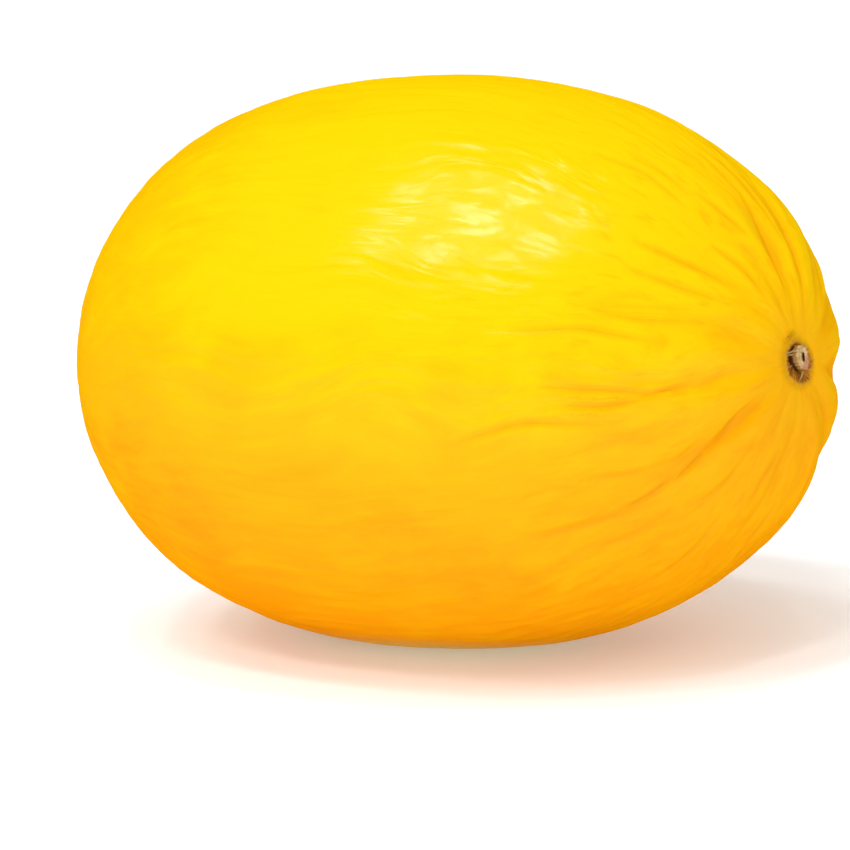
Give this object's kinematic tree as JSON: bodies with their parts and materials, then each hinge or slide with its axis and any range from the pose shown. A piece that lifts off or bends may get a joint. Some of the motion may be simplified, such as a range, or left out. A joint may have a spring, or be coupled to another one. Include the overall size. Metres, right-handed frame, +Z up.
{
  "type": "honeydew melon",
  "caption": "Whole yellow-skinned honeydew melon lying on its side, oval, with shallow furrows from the dry stem stub.",
  "frame": {"origin": "centre of the flat spot that the melon rests on", "axes": "+Z up; +X along the melon's length, from the blossom end to the stem end, which is 3 degrees higher"},
  "size_m": [0.2099, 0.1516, 0.1472],
  "materials": {
    "rind": "smooth waxy satin rind, golden yellow, more orange by the stem end and the belly",
    "dry_stem": "dry, fibrous and matt"
  },
  "bodies": {
    "root": {"melon_fruit": "rind", "stem_stub": "dry_stem"}
  },
  "joints": []
}
